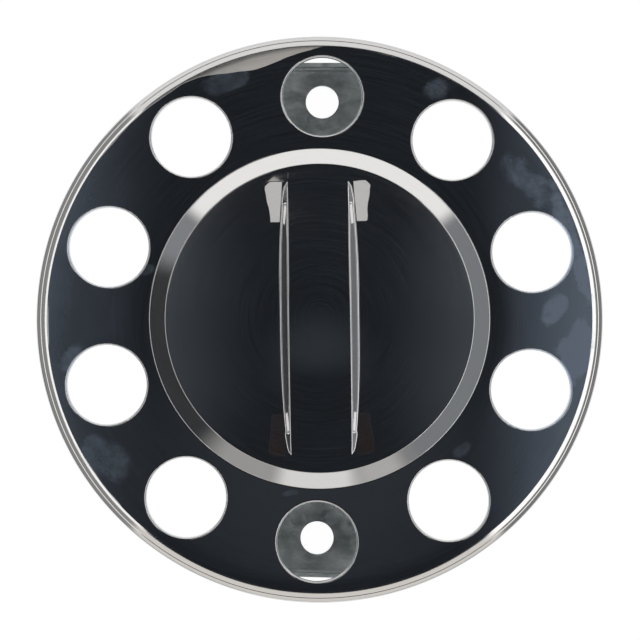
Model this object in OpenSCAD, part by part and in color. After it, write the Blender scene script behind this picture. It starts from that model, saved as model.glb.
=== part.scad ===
// Cover for the front wheel of a truck. One pressed sheet of polished steel has a rolled edge, a ring of
// rolled holes for the wheel nuts, and a stepped dome crossed by a raised bar. Two plated brackets behind
// the top and bottom holes carry it on two of the wheel's studs.
// The cover lies on its brackets. +Z is the wheel's axis and points out of the wheel, the origin is on that
// axis at the backs of the brackets, and the brackets are on the Y axis.

/* [Sheet] */
// Thickness of the polished sheet
sheet_t = 1.2; // [0.8:0.1:1.6]
// Diameter over the rolled edge
cover_d = 427.4; // [420:0.2:450]

/* [Rolled edge] */
// Radius of the shoulder between the flange and the skirt
shoulder_r = 3; // [2:0.1:5]
// Slope of the skirt, measured from the flange
skirt_angle = 74; // [60:1:82]
// Drop from the front of the flange to the middle of the rolled edge
edge_drop = 8.6; // [7:0.2:14]
// Radius of the rolled edge
edge_r = 2.4; // [2:0.1:3]

/* [Nut holes] */
// Number of nut holes
nut_count = 10; // [8:2:10]
// Diameter of the circle that the nut holes lie on
nut_pcd = 335; // [328:1:340]
// Clear diameter of a nut hole
nut_hole_d = 59.6; // [52:0.2:62]
// Radius of the rolled lip round a nut hole
nut_lip_r = 2.2; // [1.8:0.1:3]
// Depth of that lip behind the front of the flange
nut_lip_drop = 6; // [4:0.2:10]

/* [Step ring] */
// Diameter of the foot of the step round the dome
ring_d = 255.6; // [246:0.2:260]
// Height of the step
ring_h = 10.7; // [7:0.1:16]
// Slope of the step, measured from the flange
ring_angle = 40; // [32:1:55]
// Radius of the bends at the foot and the top of the step
ring_round = 2; // [1.7:0.1:4]

/* [Dome] */
// Rise of the dome above the top of the step
dome_rise = 7; // [4:0.1:10]

/* [Bar] */
// Width of the raised bar across its top
bar_w = 48.3; // [36:0.1:64]
// Rise of the bar above the top of the step
bar_rise = 14.5; // [14.5:0.1:20]
// Draft of the sides of the bar
bar_draft = 38; // [20:1:38]
// Radius along the top edges of the bar
bar_round = 2.2; // [1.7:0.1:3]
// Turn of the bar from the line of the brackets, as seen from the front
bar_turn = 1.5; // [-10:0.1:10]

/* [Brackets] */
// Thickness of the bracket plate
bracket_t = 3; // [2:0.1:4]
// Distance from the front of the flange back to the front of a bracket's plate
standoff = 30; // [24:0.5:45]
// Diameter of the stud hole
stud_hole_d = 25.3; // [22.5:0.1:28]
// Width of a bracket over its legs
bracket_w = 78; // [74:0.5:82]
// Length of each leg and foot along the plate
leg_len = 40; // [30:1:44]
// Width of each foot
foot_w = 16; // [12:0.5:18]
// Inner radius of the bends
bend_r = 3; // [1.5:0.1:4]
// Distance from the stud hole's axis to the bracket's outer edge
plate_out = 29.3; // [26:0.1:32]
// Distance from the stud hole's axis to the bracket's inner edge
plate_in = 34; // [30:0.5:38]
// Height of the stiffening lip along the outer edge, above the plate
lip_h = 6; // [4:0.5:10]
// Turn of the top bracket about its stud
top_turn = 0.7; // [-3:0.1:3]
// Turn of the bottom bracket about its stud
bottom_turn = -1; // [-3:0.1:3]

/* [Hidden] */

$fn = 96;
turn_fn = 288;
eps = 0.01;

// heights
flange_z = bracket_t + standoff;
flange_back_z = flange_z - sheet_t;
ring_top_z = flange_z + ring_h;

// radii of the step, and the length of its slope between the two bends
ring_foot_r = ring_d / 2;
ring_top_r = ring_foot_r - ring_h / tan(ring_angle);
dome_arc_r = arc_radius(ring_top_r, dome_rise);
dome_edge_angle = asin(ring_top_r / dome_arc_r);
top_turn_angle = ring_angle - dome_edge_angle;
top_tangent = ring_round * tan(top_turn_angle / 2);
foot_tangent = ring_round * tan(ring_angle / 2);
step_len = ring_h / sin(ring_angle) - top_tangent - foot_tangent;

// angle of the dome's own arc, which stops where the bend at the top of the step begins
dome_angle = asin((ring_top_r - top_tangent * cos(dome_edge_angle)) / dome_arc_r);

// lengths of the rim, worked inwards from the rolled edge
skirt_run = edge_drop - shoulder_r * (1 - cos(skirt_angle)) + (edge_r - sheet_t) * cos(skirt_angle);
skirt_len = skirt_run / sin(skirt_angle);
edge_start_r = cover_d / 2 - edge_r - (edge_r - sheet_t) * sin(skirt_angle);
shoulder_start_r = edge_start_r - skirt_len * cos(skirt_angle) - shoulder_r * sin(skirt_angle);
flange_len = shoulder_start_r - ring_foot_r - foot_tangent;
edge_roll = 191 + skirt_angle;

// bar
bar_arc_r = arc_radius(ring_top_r, bar_rise);
bar_top_z = ring_top_z + bar_rise;
bar_depth = bar_rise - dome_rise + 4 * sheet_t;
bar_end_r = ring_top_r - top_tangent;

// brackets
stud_y = nut_pcd / 2;
leg_run = flange_back_z - bracket_t - 2 * bend_r - bracket_t;
flat_half_w = bracket_w / 2 - bracket_t - bend_r;

// radius of the arc through the centre of a cap, from half its width and its rise
function arc_radius(half_w, rise) = (half_w * half_w + rise * rise) / (2 * rise);

// number of segments in a full circle of radius r, at about 3 mm a segment
function segments(r) = max(48, ceil(2 * PI * r / 3));

// part of a flat ring between radii r and r + t, from angle a0 to a1
module ring_sector(r, t, a0, a1) {
    steps = max(1, ceil((a1 - a0) / 60));
    reach = 2 * (r + t);
    intersection() {
        difference() {
            circle(r + t, $fn = segments(r + t));
            circle(r, $fn = segments(r));
        }
        polygon([
            [0, 0],
            for (i = [0:steps])
                let (a = a0 + (a1 - a0) * i / steps)
                [reach * cos(a), reach * sin(a)]
        ]);
    }
}

// section of a bent sheet that lies below its path. Each step is [straight length, bend radius, turn]:
// a turn up has its centre above the sheet, and a turn down has it below, at that radius from the path.
module sheet_path(steps, t, i = 0) {
    if (i < len(steps)) {
        run = steps[i][0];
        r = steps[i][1];
        turn = steps[i][2];
        translate([-eps, -t]) square([run + 2 * eps, t]);
        translate([run, 0]) {
            if (turn > 0)
                translate([0, r]) ring_sector(r, t, -90, turn - 90);
            if (turn < 0)
                translate([0, -r]) ring_sector(r - t, t, 90 + turn, 90);
            end_x = r * sin(abs(turn));
            end_y = sign(turn) * r * (1 - cos(turn));
            translate([end_x, end_y]) rotate(turn) sheet_path(steps, t, i + 1);
        }
    }
}

// the sheet as pressed, without its holes and bar: dome, step, flange, shoulder, skirt and rolled edge
module pressed_sheet() {
    rotate_extrude($fn = turn_fn)
        intersection() {
            translate([0, ring_top_z + dome_rise])
                sheet_path([
                    [0, dome_arc_r, -dome_angle],
                    [0, ring_round, dome_angle - ring_angle],
                    [step_len, ring_round, ring_angle],
                    [flange_len, shoulder_r, -skirt_angle],
                    [skirt_len, edge_r - sheet_t, edge_roll]
                ], sheet_t);
            square([cover_d, 2 * cover_d]);
        }
}

// everything under the dome's back, as wide as the dome
module dome_hollow() {
    rotate_extrude($fn = turn_fn)
        intersection() {
            translate([0, ring_top_z + dome_rise - dome_arc_r])
                circle(dome_arc_r - sheet_t, $fn = segments(dome_arc_r));
            translate([0, flange_z - dome_rise]) square([ring_top_r, dome_arc_r]);
        }
}

// section of the bar, with its top at x = 0: inset 0 gives the outside and inset sheet_t the hollow
module bar_section(inset) {
    corner = 90 - bar_draft;
    round_r = bar_round - inset;
    half_w = bar_w / 2 - inset * tan(corner / 2);
    tangent = round_r * tan(corner / 2);
    depth = bar_depth + inset;
    foot_half_w = half_w + (depth - inset) * tan(bar_draft);
    side = [-inset - tangent * cos(bar_draft), half_w + tangent * sin(bar_draft)];
    polygon([
        [-inset, half_w - tangent],
        side,
        [-depth, foot_half_w],
        [-depth, -foot_half_w],
        [side[0], -side[1]],
        [-inset, tangent - half_w]
    ]);
    for (s = [-1, 1])
        translate([-inset - round_r, s * (half_w - tangent)]) circle(round_r, $fn = 48);
}

// the bar's section swept over the dome on its own arc
module bar_body(inset) {
    sweep = 2 * asin(ring_top_r / bar_arc_r) + 4;
    rotate([0, 0, bar_turn])
        intersection() {
            translate([0, 0, bar_top_z - bar_arc_r])
                rotate([0, -90, 0])
                rotate([0, 0, -sweep / 2])
                rotate_extrude(angle = sweep, $fn = 720)
                translate([bar_arc_r, 0]) bar_section(inset);
            cylinder(r = bar_end_r - inset, h = 3 * bar_top_z, center = true, $fn = turn_fn);
        }
}

// rolled lip round one nut hole, with its axis at the origin
module nut_lip() {
    wall_r = nut_hole_d / 2;
    rotate_extrude($fn = 120) {
        translate([wall_r + nut_lip_r, flange_z - nut_lip_r])
            ring_sector(nut_lip_r - sheet_t, sheet_t, 90, 180);
        translate([wall_r, flange_z - nut_lip_drop])
            square([sheet_t, nut_lip_drop - nut_lip_r + eps]);
        translate([wall_r + nut_lip_r - eps, flange_back_z]) square([2 * eps, sheet_t]);
    }
}

// places its children at each nut hole, with the first hole on +Y
module at_nut_holes() {
    for (i = [0:nut_count - 1])
        rotate([0, 0, 360 * i / nut_count]) translate([0, stud_y, 0]) children();
}

module wheel_cover() {
    color([0.78, 0.79, 0.80])
        difference() {
            union() {
                difference() {
                    pressed_sheet();
                    at_nut_holes()
                        translate([0, 0, flange_z])
                        cylinder(d = nut_hole_d + 2 * nut_lip_r, h = 4 * sheet_t, center = true, $fn = 120);
                }
                at_nut_holes() nut_lip();
                difference() {
                    bar_body(0);
                    dome_hollow();
                }
            }
            bar_body(sheet_t);
        }
}

// half of the bent bracket seen along its length: plate, leg and foot
module bracket_half_section() {
    translate([0, bracket_t])
        sheet_path([
            [flat_half_w, bend_r, 90],
            [leg_run, bend_r + bracket_t, -90],
            [foot_w - bend_r, 0, 0]
        ], bracket_t);
}

// one bracket, with its stud hole at the origin and its outer edge on the +Y side
module stud_bracket() {
    lip_bend_y = plate_out - bracket_t - bend_r;
    difference() {
        union() {
            translate([0, leg_len / 2, 0])
                rotate([90, 0, 0])
                linear_extrude(leg_len)
                for (s = [0, 1])
                    mirror([s, 0, 0]) bracket_half_section();
            translate([-flat_half_w, -plate_in, 0]) cube([2 * flat_half_w, plate_in + lip_bend_y, bracket_t]);
            translate([-flat_half_w, 0, 0])
                rotate([90, 0, 90])
                linear_extrude(2 * flat_half_w)
                translate([lip_bend_y - eps, bracket_t])
                sheet_path([[eps, bend_r, 90], [lip_h - bend_r, 0, 0]], bracket_t);
        }
        cylinder(d = stud_hole_d, h = 4 * bracket_t, center = true);
    }
}

module bracket_top() {
    color([0.46, 0.50, 0.51])
        translate([0, stud_y, 0]) rotate([0, 0, top_turn]) stud_bracket();
}

module bracket_bottom() {
    color([0.40, 0.44, 0.45])
        translate([0, -stud_y, 0]) rotate([0, 0, 180 + bottom_turn]) stud_bracket();
}

wheel_cover();
bracket_top();
bracket_bottom();
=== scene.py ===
"""Polished steel wheel cover on a white studio floor, seen from straight above."""

import math

import bpy
from mathutils import Matrix, Vector


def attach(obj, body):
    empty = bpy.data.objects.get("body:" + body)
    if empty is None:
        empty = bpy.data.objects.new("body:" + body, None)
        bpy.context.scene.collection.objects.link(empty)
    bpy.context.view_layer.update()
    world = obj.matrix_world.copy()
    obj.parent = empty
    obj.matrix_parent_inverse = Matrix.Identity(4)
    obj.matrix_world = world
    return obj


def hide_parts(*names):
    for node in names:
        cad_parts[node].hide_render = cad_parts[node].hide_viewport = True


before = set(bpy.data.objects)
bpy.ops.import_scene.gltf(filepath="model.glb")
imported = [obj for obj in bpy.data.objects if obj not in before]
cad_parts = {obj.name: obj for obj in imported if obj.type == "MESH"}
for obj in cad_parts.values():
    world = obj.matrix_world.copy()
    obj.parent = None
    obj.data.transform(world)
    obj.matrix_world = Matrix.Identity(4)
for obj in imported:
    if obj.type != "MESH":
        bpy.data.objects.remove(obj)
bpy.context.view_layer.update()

MM = 0.001

# Camera, in mm and degrees. It looks down at the middle of the flange.
CAMERA_DISTANCE = 1271
CAMERA_TILT = 1.4
CAMERA_ROLL = 0.676
FLANGE_Z = 33
VIEW_WIDTH = 480.4
AIM_X, AIM_Y = 0.3, -1.3


def make_camera():
    target = Vector((AIM_X, AIM_Y, FLANGE_Z)) * MM
    tilt = math.radians(CAMERA_TILT)
    back = Vector((0, -math.sin(tilt), math.cos(tilt)))
    data = bpy.data.cameras.new("camera")
    data.sensor_width = 36
    data.lens = data.sensor_width * CAMERA_DISTANCE / VIEW_WIDTH
    data.clip_start, data.clip_end = 0.05, 60
    camera = bpy.data.objects.new("camera", data)
    bpy.context.scene.collection.objects.link(camera)
    up = Vector((0, 1, 0))
    right = up.cross(back).normalized()
    turn = Matrix((right, back.cross(right), back)).transposed().to_4x4()
    roll = Matrix.Rotation(math.radians(CAMERA_ROLL), 4, "Z")
    camera.matrix_world = Matrix.Translation(target + back * CAMERA_DISTANCE * MM) @ turn @ roll
    bpy.context.scene.camera = camera


class Nodes:
    """Short names for the nodes of one material or world."""

    def __init__(self, tree):
        self.tree = tree
        tree.nodes.clear()

    def new(self, kind, **settings):
        node = self.tree.nodes.new(kind)
        for name, value in settings.items():
            setattr(node, name, value)
        return node

    def put(self, socket, value):
        if hasattr(value, "is_output"):
            self.tree.links.new(value, socket)
        else:
            socket.default_value = value

    def maths(self, operation, a, b=0.0, clamp=False):
        node = self.new("ShaderNodeMath", operation=operation, use_clamp=clamp)
        self.put(node.inputs[0], a)
        self.put(node.inputs[1], b)
        return node.outputs[0]

    def add(self, a, b):
        return self.maths("ADD", a, b)

    def minus(self, a, b):
        return self.maths("SUBTRACT", a, b)

    def times(self, a, b):
        return self.maths("MULTIPLY", a, b)

    def wrap(self, value, low, high):
        """The value moved between low and high by whole turns."""
        wrapped = self.maths("WRAP", value, high)
        wrapped.node.inputs[2].default_value = low
        return wrapped

    def ramp(self, value, low, high, at_low=0.0, at_high=1.0, kind="SMOOTHSTEP"):
        node = self.new("ShaderNodeMapRange", interpolation_type=kind)
        for socket, item in zip(node.inputs[:5], (value, low, high, at_low, at_high)):
            self.put(socket, item)
        return node.outputs[0]

    def band(self, value, low, high, soft):
        """1 between low and high, and 0 outside, over a soft edge."""
        rise = self.ramp(value, low - soft, low + soft)
        fall = self.ramp(value, high - soft, high + soft, 1.0, 0.0)
        return self.times(rise, fall)

    def mix(self, factor, a, b):
        node = self.new("ShaderNodeMix", data_type="RGBA")
        self.put(node.inputs["Factor"], factor)
        self.put(node.inputs[6], a)
        self.put(node.inputs[7], b)
        return node.outputs[2]

    def noise(self, vector, scale, detail=2.0, roughness=0.5):
        node = self.new("ShaderNodeTexNoise")
        self.put(node.inputs["Vector"], vector)
        node.inputs["Scale"].default_value = scale
        node.inputs["Detail"].default_value = detail
        node.inputs["Roughness"].default_value = roughness
        return node.outputs[0]


# Cover, in mm and degrees. The sheet has the sizes of the part's source, so it lies where the solid does,
# less INSIDE at its widest.
SHEET = 1.2
COVER_R, INSIDE = 213.7, 0.01
RIM_DEPTH, EDGE_R, EDGE_ROLL = 11, 2.4, 224
HOLE_COUNT, HOLE_CIRCLE_R, HOLE_R, LIP_R, LIP_DROP = 10, 167.5, 29.8, 2.2, 6.0
RING_FOOT_R, RING_H, RING_ANGLE, RING_ROUND = 127.8, 10.7, 40, 2.0
DOME_RISE = 7.0
BAR_TURN = 1.5

RING_TOP_Z = FLANGE_Z + RING_H
RING_TOP_R = RING_FOOT_R - RING_H / math.tan(math.radians(RING_ANGLE))
DOME_ARC_R = (RING_TOP_R ** 2 + DOME_RISE ** 2) / (2 * DOME_RISE)

# Bar: its height above the dome at the middle, what it has lost of that at BAR_FALL_AT along it, and the
# stretch over which its top runs out. Its walls end sooner, and beyond them a softer slope carries on.
BAR_H, BAR_FALL, BAR_FALL_AT, BAR_FALL_POWER = 7.45, 4.7, 91.5, 2.8
BAR_END, BAR_GONE = 95, 113
WALL_END, WALL_GONE, WALL_LEFT = 98.5, 102.5, 0.06
SIDE_RUN = 18
BAR_TOP_HALF = 21.9
BAR_TOP_BEND, BAR_FOOT_BEND = 2.2, 2.8
BAR_BENDS = BAR_TOP_BEND + BAR_FOOT_BEND
WALL_ANGLE, WALL_ANGLE_LOST, WALL_TURNS_FROM, WALL_TURNS_TO = 52, 11.5, 83, 87
LOWEST_WALL = 0.01

# Flange: its outermost part falls away a little towards the rim
CROWN_FROM, CROWN_ANGLE = 191, 2.0

# Rim, from the flange outwards: slopes of its bands in degrees and their widths in mm, then a skirt that
# goes straight down to the rolled edge. A band of WIDE_BAND or more curves all the way to its slope.
RIM_BANDS = [(22, 0.1), (31, 4.5), (22.5, 0.45), (29.5, 2.2)]
WIDE_BAND = 4
RIM_BEND = 0.5
RIM_START_R = 204.7

# Mesh: points round the axis, and the cap's columns over each wall and over the strip beside it. Beyond
# COLUMNS_STRAIGHT_FROM across the bar the columns are straight. Its rows come closer at ROWS_CLOSER_FROM
# of the way from the middle to the end.
SEGMENTS = 360
WALL_COLUMNS = 26
SIDE_COLUMNS, SIDE_COLUMNS_TO = 8, 16
COLUMN_GAP = 0.02
COLUMNS_STRAIGHT_FROM = 64
ROWS_CLOSER_FROM, WIDE_ROWS, CLOSE_ROWS = 0.58, 10, 29
# The flange's rows round a nut hole, from the border of its sector (1) to the hole (0), and the points
# on each straight side of the sector
FLANGE_ROWS = (1, 0.72, 0.48, 0.28, 0.13, 0)
SECTOR_SIDE = 9


def smooth(x, low, high):
    t = min(1.0, max(0.0, (x - low) / (high - low)))
    return t * t * (3 - 2 * t)


def dome_z(r):
    return RING_TOP_Z + DOME_RISE - DOME_ARC_R + math.sqrt(DOME_ARC_R ** 2 - r * r)


def bar_height(v):
    """Height of the bar's top above the dome at v along it."""
    full = BAR_H - BAR_FALL * abs(v / BAR_FALL_AT) ** BAR_FALL_POWER
    return full * (1 - smooth(abs(v), BAR_END, BAR_GONE))


def wall(v):
    """Height of the bar's walls at v along the bar, measured from the foot, and their slope."""
    h = max(LOWEST_WALL, bar_height(v) * (1 - (1 - WALL_LEFT) * smooth(abs(v), WALL_END, WALL_GONE)))
    steepest = WALL_ANGLE - WALL_ANGLE_LOST * smooth(abs(v), WALL_TURNS_FROM, WALL_TURNS_TO)
    return h, min(math.radians(steepest), math.acos(max(0.0, 1 - h / BAR_BENDS)))


def wall_run(h, angle):
    """Width of a wall, with its two bends."""
    straight = max(0.0, h - BAR_BENDS * (1 - math.cos(angle))) / math.tan(angle)
    return BAR_BENDS * math.sin(angle) + straight


def wall_drop(d, h, angle):
    """Drop at a distance d outwards from the start of the top bend."""
    if d <= 0:
        return 0.0
    top_run = BAR_TOP_BEND * math.sin(angle)
    if d < top_run:
        return BAR_TOP_BEND - math.sqrt(BAR_TOP_BEND ** 2 - d * d)
    left = wall_run(h, angle) - d
    if left < BAR_FOOT_BEND * math.sin(angle):
        return h - BAR_FOOT_BEND + math.sqrt(BAR_FOOT_BEND ** 2 - left * left)
    return BAR_TOP_BEND * (1 - math.cos(angle)) + (d - top_run) * math.tan(angle)


def cap_z(u, v):
    """Height of the dome and its bar, at u across the bar and v along it."""
    h, angle = wall(v)
    d = abs(u) - BAR_TOP_HALF
    beyond = d - wall_run(h, angle)
    if beyond <= 0:
        return dome_z(math.hypot(u, v)) + bar_height(v) - wall_drop(d, h, angle)
    raised = bar_height(v) - h
    return dome_z(math.hypot(u, v)) + raised * (1 - smooth(beyond, 0, SIDE_RUN))


class Sheet:
    """One bent sheet. Each point is given on its front; the back lies one thickness behind it."""

    def __init__(self):
        self.points, self.normals, self.faces = [], [], []
        self.ends = []

    def add(self, point, normal):
        self.points.append(Vector(point))
        self.normals.append(Vector(normal).normalized())
        return len(self.points) - 1

    def join(self, rows, closed):
        """Faces between rows of point numbers. Each row of a closed patch meets its own start."""
        for low, high in zip(rows, rows[1:]):
            for i in range(len(low) if closed else len(low) - 1):
                j = (i + 1) % len(low)
                self.faces.append((low[i], low[j], high[j], high[i]))

    def end(self, row, facing):
        """A raw edge of the sheet, round which front and back are joined. facing has a normal a point."""
        self.ends.append((row, facing))

    def outward(self, face, points, normals):
        """The face with its corners in the order that makes it face as its normals do."""
        a, b, c, d = (points[i] for i in face)
        return face if (c - a).cross(d - b).dot(normals[face[0]]) > 0 else tuple(reversed(face))

    def build(self, name):
        count = len(self.points)
        points = self.points + [p - n * SHEET for p, n in zip(self.points, self.normals)]
        normals = self.normals + [-n for n in self.normals]
        faces = self.faces + [tuple(count + i for i in face) for face in self.faces]
        for row, facing in self.ends:
            start = len(points)
            for here, normal in zip(row, facing):
                points += [points[here], points[count + here]]
                normals += [Vector(normal)] * 2
            for i in range(len(row)):
                a, b = start + 2 * i, start + 2 * ((i + 1) % len(row))
                faces.append((a, a + 1, b + 1, b))
        faces = [self.outward(face, points, normals) for face in faces]
        mesh = bpy.data.meshes.new(name)
        mesh.from_pydata([p * MM for p in points], [], faces)
        mesh.validate()
        mesh.shade_smooth()
        mesh.normals_split_custom_set_from_vertices(normals)
        piece = bpy.data.objects.new(name, mesh)
        bpy.context.scene.collection.objects.link(piece)
        return piece


def polar(r, degrees):
    """Point of the plan at a radius and an angle clockwise from +Y."""
    a = math.radians(degrees)
    return r * math.sin(a), r * math.cos(a)


def bends(start, heading, steps):
    """Points and normals along a bent path in the (r, z) plane.

    Each step is (straight length, bend radius, turn, number of points in the bend).
    """
    r, z = start
    out = []

    def note():
        a = math.radians(heading)
        out.append((r, z, -math.sin(a), math.cos(a)))

    note()
    for length, radius, turn, count in steps:
        a = math.radians(heading)
        r, z = r + length * math.cos(a), z + length * math.sin(a)
        if length:
            note()
        side = math.copysign(radius, turn)
        centre = r - side * math.sin(a), z + side * math.cos(a)
        first = heading
        for i in range(1, count + 1):
            heading = first + turn * i / count
            a = math.radians(heading)
            r, z = centre[0] + side * math.sin(a), centre[1] - side * math.cos(a)
            note()
    return out


def turned(sheet, profile):
    """Rows of points round the axis, one for each point of the profile."""
    rows = []
    for r, z, nr, nz in profile:
        row = []
        for k in range(SEGMENTS):
            x, y = polar(r, 360 * k / SEGMENTS)
            nx, ny = polar(nr, 360 * k / SEGMENTS)
            row.append(sheet.add((x, y, z), (nx, ny, nz)))
        rows.append(row)
    sheet.join(rows, closed=True)
    return rows


def surface_normal(height, x, y, step=0.04):
    """Normal of a surface at x, y from its height just beside that place."""
    dx = (height(x + step, y) - height(x - step, y)) / (2 * step)
    dy = (height(x, y + step) - height(x, y - step)) / (2 * step)
    return Vector((-dx, -dy, 1)).normalized()


def cap_columns(half_width):
    """Places across the bar for the cap's columns at its rim: one at each of the rim's own points, and
    more where the walls are. Each is (u, v) on the rim."""
    step = 360 / SEGMENTS
    rim = [polar(half_width, -90 + step / 2 + i * step) for i in range(SEGMENTS // 2)]
    walls = wall_run(*wall(BAR_GONE))
    extra = [BAR_TOP_HALF + walls * i / WALL_COLUMNS for i in range(WALL_COLUMNS + 1)]
    outer = BAR_TOP_HALF + walls
    extra += [outer + SIDE_COLUMNS_TO * (i + 1) / SIDE_COLUMNS for i in range(SIDE_COLUMNS)]
    for u in sorted(extra + [-e for e in extra]):
        for (u0, v0), (u1, v1) in zip(rim, rim[1:]):
            if u0 + COLUMN_GAP < u < u1 - COLUMN_GAP:
                rim.append((u, v0 + (v1 - v0) * (u - u0) / (u1 - u0)))
                rim.sort()
                break
    return rim


def cap_rows():
    """Places along the bar for the cap's rows, as fractions of the half length, closer at the ends."""
    middle = [ROWS_CLOSER_FROM * i / WIDE_ROWS for i in range(WIDE_ROWS)]
    ends = [ROWS_CLOSER_FROM + (1 - ROWS_CLOSER_FROM) * i / CLOSE_ROWS for i in range(CLOSE_ROWS + 1)]
    half = middle + ends
    return [-t for t in reversed(half[1:])] + half


def follow_walls(u, v):
    """Moves a column's place across the bar so that the columns keep to the bends of the walls."""
    rest = BAR_TOP_HALF + wall_run(*wall(BAR_GONE))
    foot = BAR_TOP_HALF + wall_run(*wall(v))
    a = abs(u)
    if a <= BAR_TOP_HALF or a >= COLUMNS_STRAIGHT_FROM:
        return u
    if a <= rest:
        a = BAR_TOP_HALF + (a - BAR_TOP_HALF) * (foot - BAR_TOP_HALF) / (rest - BAR_TOP_HALF)
    else:
        a = foot + (a - rest) * (COLUMNS_STRAIGHT_FROM - foot) / (COLUMNS_STRAIGHT_FROM - rest)
    return math.copysign(a, u)


def add_cap(sheet, rim_r):
    """The dome with its bar, up to rim_r."""
    turn = Matrix.Rotation(math.radians(BAR_TURN), 3, "Z")
    rows = []
    columns = cap_columns(rim_r)
    for t in cap_rows():
        row = []
        for u0, v0 in columns:
            v = t * v0
            at_rim = abs(t) == 1
            u = u0 if at_rim else follow_walls(u0, v)
            z = dome_z(rim_r) if at_rim else cap_z(u, v)
            row.append(sheet.add(turn @ Vector((u, v, z)), turn @ surface_normal(cap_z, u, v)))
        rows.append(row)
    sheet.join(rows, closed=False)


def flange_z(x, y):
    out = max(0.0, math.hypot(x, y) - CROWN_FROM)
    return FLANGE_Z - out * out * math.tan(math.radians(CROWN_ANGLE)) / (2 * (RIM_START_R - CROWN_FROM))


def sector_border(middle, inner_r, outer_r):
    """Points round the sector of the flange that has its middle at that angle."""
    sector = 360 // HOLE_COUNT
    angles = [middle - sector / 2 + i for i in range(sector + 1)]
    across = [outer_r + (inner_r - outer_r) * i / SECTOR_SIDE for i in range(1, SECTOR_SIDE)]
    border = [polar(outer_r, a) for a in angles]
    border += [polar(r, angles[-1]) for r in across]
    border += [polar(inner_r, a) for a in reversed(angles)]
    border += [polar(r, angles[0]) for r in reversed(across)]
    return border


def add_sector(sheet, hole, border):
    """The flange between one nut hole and the border of its sector, and the hole's rolled lip."""
    away = [Vector(point) - hole for point in border]
    out = [v.normalized() for v in away]
    start = HOLE_R + LIP_R
    rows = []
    for f in FLANGE_ROWS:
        row = []
        for v, d in zip(away, out):
            x, y = hole + d * start + (v - d * start) * f
            row.append(sheet.add((x, y, flange_z(x, y)), surface_normal(flange_z, x, y)))
        rows.append(row)
    lip = bends((0, 0), 0, [(0, LIP_R, -90, 6)])
    for run, drop, along, up in lip[1:] + [(LIP_R, None, 1, 0)]:
        row = []
        for d in out:
            x, y = hole + d * (start - run)
            z = FLANGE_Z - LIP_DROP if drop is None else flange_z(*(hole + d * start)) + drop
            row.append(sheet.add((x, y, z), (-d.x * along, -d.y * along, up)))
        rows.append(row)
    sheet.join(rows, closed=True)
    sheet.end(rows[-1], [(0, 0, -1)] * len(border))


def add_flange(sheet, inner_r, outer_r):
    for i in range(HOLE_COUNT):
        middle = i * 360 // HOLE_COUNT
        add_sector(sheet, Vector(polar(HOLE_CIRCLE_R, middle)), sector_border(middle, inner_r, outer_r))


def add_step(sheet):
    """The dome with its bar, and the sloping step round it. Returns the radius at the step's foot."""
    dome_edge = math.degrees(math.asin(RING_TOP_R / DOME_ARC_R))
    top_tangent = RING_ROUND * math.tan(math.radians(RING_ANGLE - dome_edge) / 2)
    foot_tangent = RING_ROUND * math.tan(math.radians(RING_ANGLE) / 2)
    length = RING_H / math.sin(math.radians(RING_ANGLE)) - top_tangent - foot_tangent
    cap_r = RING_TOP_R - top_tangent * math.cos(math.radians(dome_edge))
    cap_edge = math.degrees(math.asin(cap_r / DOME_ARC_R))
    add_cap(sheet, cap_r)
    step = bends((cap_r, dome_z(cap_r)), -cap_edge, [
        (0, RING_ROUND, cap_edge - RING_ANGLE, 5),
        (length, RING_ROUND, RING_ANGLE, 5),
    ])
    turned(sheet, step)
    return step[-1][0]


def rim_path():
    """The rim's path from the flange outwards: its bands, a corner, the skirt and the rolled edge."""
    start = RIM_START_R, flange_z(0, RIM_START_R)
    heading, steps = -CROWN_ANGLE, []
    for slope, width in RIM_BANDS:
        before, after = math.sin(math.radians(-heading)), math.sin(math.radians(slope))
        if width >= WIDE_BAND:
            steps.append((0, width / (after - before), -slope - heading, 12))
        else:
            steps.append((0, RIM_BEND, -slope - heading, 3))
            steps.append((width / math.cos(math.radians(slope)), RIM_BEND, 0, 0))
        heading = -slope
    bands_end = bends(start, -CROWN_ANGLE, steps)[-1][0]
    corner_r = (COVER_R - INSIDE - bands_end) / (1 - math.sin(math.radians(-heading)))
    steps.append((0, corner_r, -90 - heading, 8))
    corner_z = bends(start, -CROWN_ANGLE, steps)[-1][1]
    skirt = corner_z - (FLANGE_Z - RIM_DEPTH) - EDGE_R
    steps.append((skirt, EDGE_R, -EDGE_ROLL, 13))
    return bends(start, -CROWN_ANGLE, steps)


def make_cover():
    sheet = Sheet()
    foot_r = add_step(sheet)
    add_flange(sheet, foot_r, RIM_START_R)
    rows = turned(sheet, rim_path())
    end_angle = math.radians(-90 - EDGE_ROLL)
    around = [polar(math.cos(end_angle), 360 * k / SEGMENTS) for k in range(SEGMENTS)]
    sheet.end(rows[-1], [(x, y, math.sin(end_angle)) for x, y in around])
    return sheet.build("cover_sheet")


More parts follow.
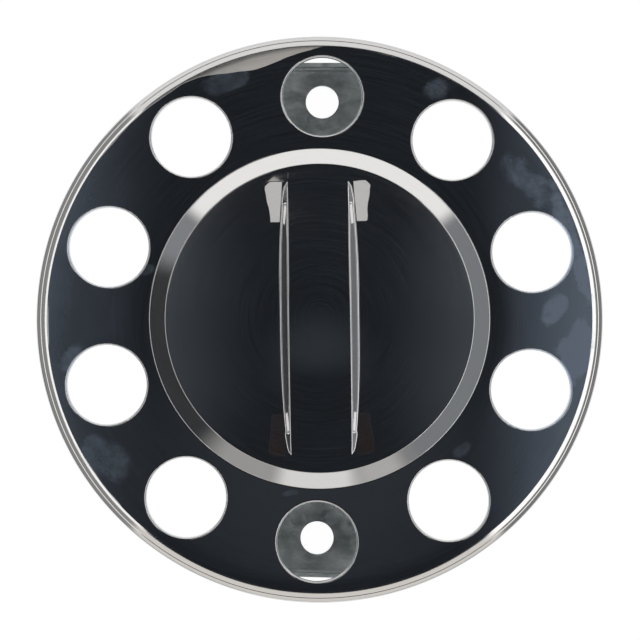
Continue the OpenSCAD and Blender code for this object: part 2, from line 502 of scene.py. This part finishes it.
# The studio round the object, by direction. Azimuth is clockwise from the top of the picture (+Y) and
# elevation is above the floor, both in degrees. Each window is
# (name, azimuth of its middle, half width, lowest elevation, highest, softness, brightness, tint).
OVERHEAD = (0.0135, 0.0155, 0.0185, 1)
WARM = (1.0, 0.985, 0.95)
BEIGE = (1.0, 0.95, 0.88)
COOL = (0.93, 0.97, 1.0)
BLUE = (0.82, 0.93, 1.08)
REDDISH = (1.0, 0.75, 0.7)
WINDOWS = [
    ("veil_left", -90, 38, 45, 72, 24, 0.10, BLUE),
    ("veil_right", 90, 38, 45, 72, 24, 0.115, BLUE),
    ("horizon_left", -90, 52, -2, 12, 4, 0.045, COOL),
    ("horizon_top_left", -60, 10, -2, 12, 5, 0.3, COOL),
    ("horizon_right", 98, 48, -2, 12, 3, 0.26, COOL),
    ("horizon_low_right", 157, 10, -2, 12, 6, 0.55, WARM),
    ("horizon_low_left", -153, 14, -2, 12, 7, 0.42, WARM),
    ("horizon_top", 0, 50, -2, 12, 3, 1.12, WARM),
    ("horizon_bottom", 180.5, 14, -2, 12, 4, 0.92, WARM),
    ("walls_left", -90, 40, 12, 17.5, 2, 0.11, COOL),
    ("walls_right", 90, 40, 12, 17.5, 2, 0.31, COOL),
    ("rim_left", -90, 52, 17, 30.5, 1, 0.3, WARM),
    ("rim_right", 90, 52, 17, 25, 1, 0.24, WARM),
    ("rim_top", 0, 42, 17, 32, 1, 0.95, WARM),
    ("rim_bottom", 180, 42, 17, 34, 1, 0.85, BEIGE),
    ("lines_left", -90, 50, 31, 41, 1, 1.35, WARM),
    ("lines_right", 90, 50, 25.5, 41, 1, 1.5, WARM),
    ("dent", -27, 10, 54.5, 66, 1, 0.5, BEIGE),
    ("facet_left", -57, 20, 57, 68.6, 1.5, 0.68, WARM),
    ("facet_right", 57, 20, 57, 68.6, 1.5, 0.68, WARM),
    ("facet_low_left", -122, 17, 57, 68.6, 2, 0.024, REDDISH),
    ("facet_low_right", 122, 17, 57, 68.6, 2, 0.024, REDDISH),
]
# A faint glow almost straight above, in degrees from +Z, a little to the bottom of the picture
GLOW_AT, GLOW_FROM, GLOW_TO = 3.5, 1.5, 8
GLOW = (0.032, 0.037, 0.044, 1)


def make_world():
    world = bpy.data.worlds.new("studio")
    bpy.context.scene.world = world
    world.use_nodes = True
    n = Nodes(world.node_tree)
    direction = n.new("ShaderNodeTexCoord").outputs["Generated"]
    axes = n.new("ShaderNodeSeparateXYZ")
    n.put(axes.inputs[0], direction)
    x, y, z = axes.outputs
    elevation = n.maths("DEGREES", n.maths("ARCSINE", z))
    azimuth = n.maths("DEGREES", n.maths("ARCTAN2", x, y))
    towards = n.new("ShaderNodeVectorMath", operation="DOT_PRODUCT")
    n.put(towards.inputs[0], direction)
    tilt = math.radians(GLOW_AT)
    towards.inputs[1].default_value = (0, -math.sin(tilt), math.cos(tilt))
    off_glow = n.maths("DEGREES", n.maths("ARCCOSINE", towards.outputs["Value"]))
    colour = n.mix(n.ramp(off_glow, GLOW_FROM, GLOW_TO, 1.0, 0.0), OVERHEAD, GLOW)
    for name, middle, half_width, low, high, soft, strength, tint in WINDOWS:
        off = n.maths("ABSOLUTE", n.wrap(n.minus(azimuth, middle), -180, 180))
        across = n.ramp(off, half_width - soft, half_width + soft, 1.0, 0.0)
        shade = n.times(across, n.band(elevation, low, high, soft / 2))
        shade.node.label = name
        light = tuple(strength * c for c in tint[:3]) + (1,)
        colour = n.mix(shade, colour, light)
    background = n.new("ShaderNodeBackground")
    n.put(background.inputs["Color"], colour)
    output = n.new("ShaderNodeOutputWorld")
    n.put(output.inputs["Surface"], background.outputs[0])


def make_material(name):
    material = bpy.data.materials.new(name)
    material.use_nodes = True
    return material, Nodes(material.node_tree)


def finish_material(n, shader):
    output = n.new("ShaderNodeOutputMaterial")
    n.put(output.inputs["Surface"], shader)


# Painted sheen on the flange, a bluish hazy lobe that paints the reflection of the side lights: where it
# starts on the left and right of the middle and by the step, in mm, and how strong it is at each side
SHEEN_FROM, SHEEN_FULL = 105, 212
SHEEN_FROM_R, SHEEN_FULL_R = 131, 150
SHEEN_LEFT, SHEEN_RIGHT, SHEEN_AND_SMUDGES_MOST = 0.75, 1.3, 0.85
# Smudges on the polished steel: middle, half length, half width in mm, turn in degrees, strength
SMUDGES = [
    (86, 174, 14, 9, 20, 0.35),
    (152, 106, 24, 12, -40, 0.5),
    (188, 62, 46, 7, -72, 0.6),
    (177, 8, 12, 8, 60, 0.7),
    (192, -22, 32, 13, 82, 1.0),
    (-186, -33, 16, 8, 60, 0.45),
    (-157, -107, 26, 12, -30, 0.35),
    (-21, -131, 8, 3, 10, 0.3),
    (109, -97, 9, 5, 30, 0.25),
    (-131, 35, 6, 4, 20, 0.3),
    (-72, 178, 22, 8, 12, 0.3),
]
SMUDGE_FILM = 0.75
# Dent by the rim, in degrees of azimuth and mm, and how steeply it falls towards which azimuth
DENT_FROM, DENT_TO, DENT_SOFT, DENT_DEPTH, DENT_LATE = -25, -5, 8, 10.5, 0.3
DENT_SLOPE, DENT_TOWARDS = 11, -31
# Facets that the press has left beside the ends of the bar, from the foot of its walls outwards, in mm
# across the bar and along it, and how far they tip towards the bar and away from its middle, in degrees
FACET_FOOT, FACET_FOOT_TO, FACET_SIDE, FACET_SIDE_LOST = 28.6, 26.4, 40.0, 3.4
FACET_FROM, FACET_TO, FACET_TIP, FACET_AWAY = 71.2, 102, 10.5, 5.4
# Height of the sheet's ripple and of its scratches, in metres
RIPPLE, SCRATCH = 0.00004, 0.0000012


def place_in_mm(n):
    """Where a point of the object is, as a vector in metres and as x and y in mm."""
    place = n.new("ShaderNodeTexCoord").outputs["Object"]
    axes = n.new("ShaderNodeSeparateXYZ")
    n.put(axes.inputs[0], place)
    return place, n.times(axes.outputs[0], 1 / MM), n.times(axes.outputs[1], 1 / MM)


def rotated(n, x, y, degrees):
    """x and y as measured along axes that are turned by that angle."""
    c, q = math.cos(math.radians(degrees)), math.sin(math.radians(degrees))
    return n.add(n.times(x, c), n.times(y, q)), n.add(n.times(x, -q), n.times(y, c))


def length_of(n, x, y):
    return n.maths("SQRT", n.add(n.times(x, x), n.times(y, y)))


def circular_grain(n, x, y, r):
    """Noise that changes fast along the radius and slowly round it."""
    ring = n.new("ShaderNodeCombineXYZ")
    n.put(ring.inputs[0], r)
    n.put(ring.inputs[1], n.times(x, 0.014))
    n.put(ring.inputs[2], n.times(y, 0.014))
    return n.noise(ring.outputs[0], 1.7, 4, 0.7)


def sheen_and_smudge_mask(n, place, x, y, r, grain):
    """How much of the bluish hazy lobe the steel takes: painted sheen on the left and right of the flange,
    and real film in the smudges and in the grain.
    """
    # painted sheen, lighter towards the left and right edges of the flange and stronger on the right; the
    # smudges added below are real film
    side = n.ramp(n.maths("ABSOLUTE", x), SHEEN_FROM, SHEEN_FULL)
    side = n.times(side, n.ramp(x, -50, 100, SHEEN_LEFT, SHEEN_RIGHT))
    patchy = n.ramp(n.noise(place, 9, 3, 0.55), 0.3, 0.7, 0.5, 1.0)
    sheen_and_smudges = n.times(n.times(side, n.ramp(r, SHEEN_FROM_R, SHEEN_FULL_R)), patchy)
    sheen_and_smudges = n.times(sheen_and_smudges, n.ramp(r, RIM_START_R, RIM_START_R + 0.5, 0.5, 0.0))
    ragged = n.ramp(n.noise(place, 34, 4, 0.6), 0.3, 0.7, -0.35, 0.35)
    mottled = n.ramp(n.noise(place, 95, 5, 0.7), 0.32, 0.66, 0.45, 1.0)
    for cx, cy, half_length, half_width, turn, strength in SMUDGES:
        along, across = rotated(n, n.minus(x, cx), n.minus(y, cy), turn)
        away = length_of(n, n.times(along, 1 / half_length), n.times(across, 1 / half_width))
        film = n.times(n.ramp(n.add(away, ragged), 0.6, 1.1, 1.0, 0.0), mottled)
        sheen_and_smudges = n.add(sheen_and_smudges, n.times(film, strength * SMUDGE_FILM))
    return n.maths("MINIMUM", n.add(sheen_and_smudges, n.ramp(grain, 0.35, 0.75, 0.0, 0.05)), SHEEN_AND_SMUDGES_MOST)


def dent_mask(n, place, r, azimuth):
    """1 on the dent, which lies between a curved line and the rim."""
    lens = n.band(azimuth, DENT_FROM, DENT_TO, DENT_SOFT)
    start = n.minus(RIM_START_R + DENT_LATE, n.times(lens, DENT_DEPTH))
    start = n.add(start, n.ramp(n.noise(place, 22, 2, 0.5), 0.3, 0.7, -1.5, 1.5))
    inside = n.ramp(n.minus(r, start), -0.3, 0.6)
    return n.times(inside, n.ramp(r, RIM_START_R, RIM_START_R + 0.3, 1.0, 0.0))


def facet_mask(n, place, beside, along):
    """1 on the facets, by how far a point is beside the middle of the bar and along it."""
    uneven = n.ramp(n.noise(place, 60, 2, 0.5), 0.3, 0.7, -0.7, 0.7)
    foot = n.ramp(along, FACET_FROM, FACET_TO, FACET_FOOT, FACET_FOOT_TO, "LINEAR")
    outer = n.add(n.ramp(along, FACET_FROM, FACET_TO, FACET_SIDE - FACET_SIDE_LOST, FACET_SIDE), uneven)
    across = n.times(n.ramp(n.minus(beside, foot), -0.3, 0.3),
                     n.ramp(n.minus(beside, outer), -0.9, 0.9, 1.0, 0.0))
    corner = n.ramp(beside, FACET_SIDE - 5, FACET_SIDE + 1, 0.0, 4.0)
    early = n.minus(along, n.times(corner, 0.8))
    late = n.add(n.add(along, corner), n.times(uneven, 0.6))
    lengthwise = n.times(n.ramp(early, FACET_FROM - 0.8, FACET_FROM + 0.8),
                         n.ramp(late, FACET_TO - 0.6, FACET_TO + 0.6, 1.0, 0.0))
    return n.times(across, lengthwise)


def facet_normal(n, u, v):
    """The one way that each facet faces: towards the bar and away from its middle."""
    flat = n.new("ShaderNodeCombineXYZ")
    n.put(flat.inputs[0], n.times(n.maths("SIGN", u), -math.tan(math.radians(FACET_TIP))))
    n.put(flat.inputs[1], n.times(n.maths("SIGN", v), math.tan(math.radians(FACET_AWAY))))
    flat.inputs[2].default_value = 1.0
    return flat.outputs[0]


def steel_normal(n, place, x, y, r, grain):
    """The sheet's normal with its dent, facets, ripple and scratches."""
    dent = dent_mask(n, place, r, n.maths("DEGREES", n.maths("ARCTAN2", x, y)))
    towards = polar(math.tan(math.radians(DENT_SLOPE)), DENT_TOWARDS)
    tilt = n.new("ShaderNodeCombineXYZ")
    n.put(tilt.inputs[0], n.times(dent, towards[0]))
    n.put(tilt.inputs[1], n.times(dent, towards[1]))
    dented = n.new("ShaderNodeVectorMath", operation="ADD")
    n.put(dented.inputs[0], n.new("ShaderNodeNewGeometry").outputs["Normal"])
    n.put(dented.inputs[1], tilt.outputs[0])
    u, v = rotated(n, x, y, BAR_TURN)
    facet = facet_mask(n, place, n.maths("ABSOLUTE", u), n.maths("ABSOLUTE", v))
    facing = n.new("ShaderNodeVectorMath", operation="NORMALIZE")
    n.put(facing.inputs[0], n.mix(facet, dented.outputs[0], facet_normal(n, u, v)))
    bump = n.new("ShaderNodeBump")
    bump.inputs["Strength"].default_value = 1.0
    bump.inputs["Distance"].default_value = 1.0
    ripple = n.times(n.noise(place, 26, 2, 0.5), RIPPLE)
    n.put(bump.inputs["Height"], n.add(ripple, n.times(grain, SCRATCH)))
    n.put(bump.inputs["Normal"], facing.outputs[0])
    return bump.outputs[0]


def steel_lobe(n, colour, roughness, anisotropic, normal, tangent):
    shader = n.new("ShaderNodeBsdfPrincipled")
    n.put(shader.inputs["Base Color"], colour)
    shader.inputs["Metallic"].default_value = 1.0
    n.put(shader.inputs["Roughness"], roughness)
    shader.inputs["Anisotropic"].default_value = anisotropic
    n.put(shader.inputs["Tangent"], tangent)
    n.put(shader.inputs["Normal"], normal)
    return shader.outputs[0]


def polished_steel():
    material, n = make_material("polished_steel")
    place, x, y = place_in_mm(n)
    r = length_of(n, x, y)
    grain = circular_grain(n, x, y, r)
    normal = steel_normal(n, place, x, y, r, grain)
    tangent = n.new("ShaderNodeTangent", direction_type="RADIAL", axis="Z").outputs[0]
    both = n.new("ShaderNodeMixShader")
    n.put(both.inputs[0], sheen_and_smudge_mask(n, place, x, y, r, grain))
    mirror = n.ramp(grain, 0.3, 0.7, 0.06, 0.11)
    n.put(both.inputs[1], steel_lobe(n, (0.70, 0.70, 0.71, 1), mirror, 0.5, normal, tangent))
    # the hazy lobe's bluish colour is painted: it stands for the cool light that the sheen and the smudges
    # reflect
    n.put(both.inputs[2], steel_lobe(n, (0.56, 0.68, 0.86, 1), 0.55, 0.3, normal, tangent))
    finish_material(n, both.outputs[0])
    return material


def plated_steel():
    material, n = make_material("plated_steel")
    place = n.new("ShaderNodeTexCoord").outputs["Object"]
    # crystals of the zinc, with clouds and streaks over them
    cells = n.new("ShaderNodeTexVoronoi")
    n.put(cells.inputs["Vector"], place)
    cells.inputs["Scale"].default_value = 190
    cells.inputs["Randomness"].default_value = 1.0
    flakes = n.new("ShaderNodeSeparateColor")
    n.put(flakes.inputs[0], cells.outputs["Color"])
    stretched = n.new("ShaderNodeMapping")
    n.put(stretched.inputs["Vector"], place)
    stretched.inputs["Scale"].default_value = (0.4, 0.75, 1.0)
    stretched.inputs["Rotation"].default_value = (0, 0, math.radians(-28))
    streaks = n.noise(stretched.outputs[0], 120, 5, 0.65)
    clouds = n.noise(place, 38, 4, 0.6)
    light = n.add(n.ramp(streaks, 0.35, 0.68, 0.0, 0.6), n.ramp(clouds, 0.35, 0.7, 0.0, 0.4))
    colour = n.mix(light, (0.32, 0.37, 0.38, 1), (0.86, 0.90, 0.90, 1))
    colour = n.mix(n.times(flakes.outputs[0], 0.3), colour, (0.46, 0.50, 0.52, 1))
    shader = n.new("ShaderNodeBsdfPrincipled")
    n.put(shader.inputs["Base Color"], colour)
    shader.inputs["Metallic"].default_value = 0.6
    n.put(shader.inputs["Roughness"], n.ramp(flakes.outputs[1], 0, 1, 0.36, 0.55))
    bump = n.new("ShaderNodeBump")
    bump.inputs["Strength"].default_value = 0.5
    bump.inputs["Distance"].default_value = 1.0
    n.put(bump.inputs["Height"], n.times(n.add(streaks, clouds), 0.00004))
    n.put(shader.inputs["Normal"], bump.outputs[0])
    finish_material(n, shader.outputs[0])
    return material


# Floor, in metres. The camera, metal and glass see it at FLOOR_WHITE, less what the object's shadow takes.
FLOOR_SIZE = 24
FLOOR_WHITE = 0.97
FLOOR_COLOUR = (0.8, 0.8, 0.8, 1)
FLOOR_SHADE = (0.12, 0.12, 0.12, 1)


def make_floor():
    half = FLOOR_SIZE / 2
    mesh = bpy.data.meshes.new("floor")
    corners = [(-half, -half, 0), (half, -half, 0), (half, half, 0), (-half, half, 0)]
    mesh.from_pydata(corners, [], [(0, 1, 2, 3)])
    floor = bpy.data.objects.new("floor", mesh)
    bpy.context.scene.collection.objects.link(floor)
    material, n = make_material("floor")
    matte = n.new("ShaderNodeBsdfDiffuse")
    matte.inputs["Color"].default_value = FLOOR_COLOUR
    dim = n.new("ShaderNodeBsdfDiffuse")
    dim.inputs["Color"].default_value = FLOOR_SHADE
    glow = n.new("ShaderNodeEmission")
    glow.inputs["Strength"].default_value = FLOOR_WHITE
    seen = n.new("ShaderNodeAddShader")
    n.put(seen.inputs[0], dim.outputs[0])
    n.put(seen.inputs[1], glow.outputs[0])
    path = n.new("ShaderNodeLightPath")
    direct = n.maths("MAXIMUM", path.outputs["Is Camera Ray"], path.outputs["Is Glossy Ray"])
    direct = n.maths("MAXIMUM", direct, path.outputs["Is Transmission Ray"])
    choice = n.new("ShaderNodeMixShader")
    n.put(choice.inputs[0], direct)
    n.put(choice.inputs[1], matte.outputs[0])
    n.put(choice.inputs[2], seen.outputs[0])
    finish_material(n, choice.outputs[0])
    mesh.materials.append(material)


def paint(node, material):
    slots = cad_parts[node].data.materials
    slots.clear()
    slots.append(material)


make_camera()
make_world()
make_floor()
polished = polished_steel()
paint("wheel_cover", polished)
cover = make_cover()
cover.data.materials.append(polished)
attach(cover, "root")
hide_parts("wheel_cover")
plated = plated_steel()
paint("bracket_top", plated)
paint("bracket_bottom", plated)

scene = bpy.context.scene
scene.view_settings.view_transform = "Standard"
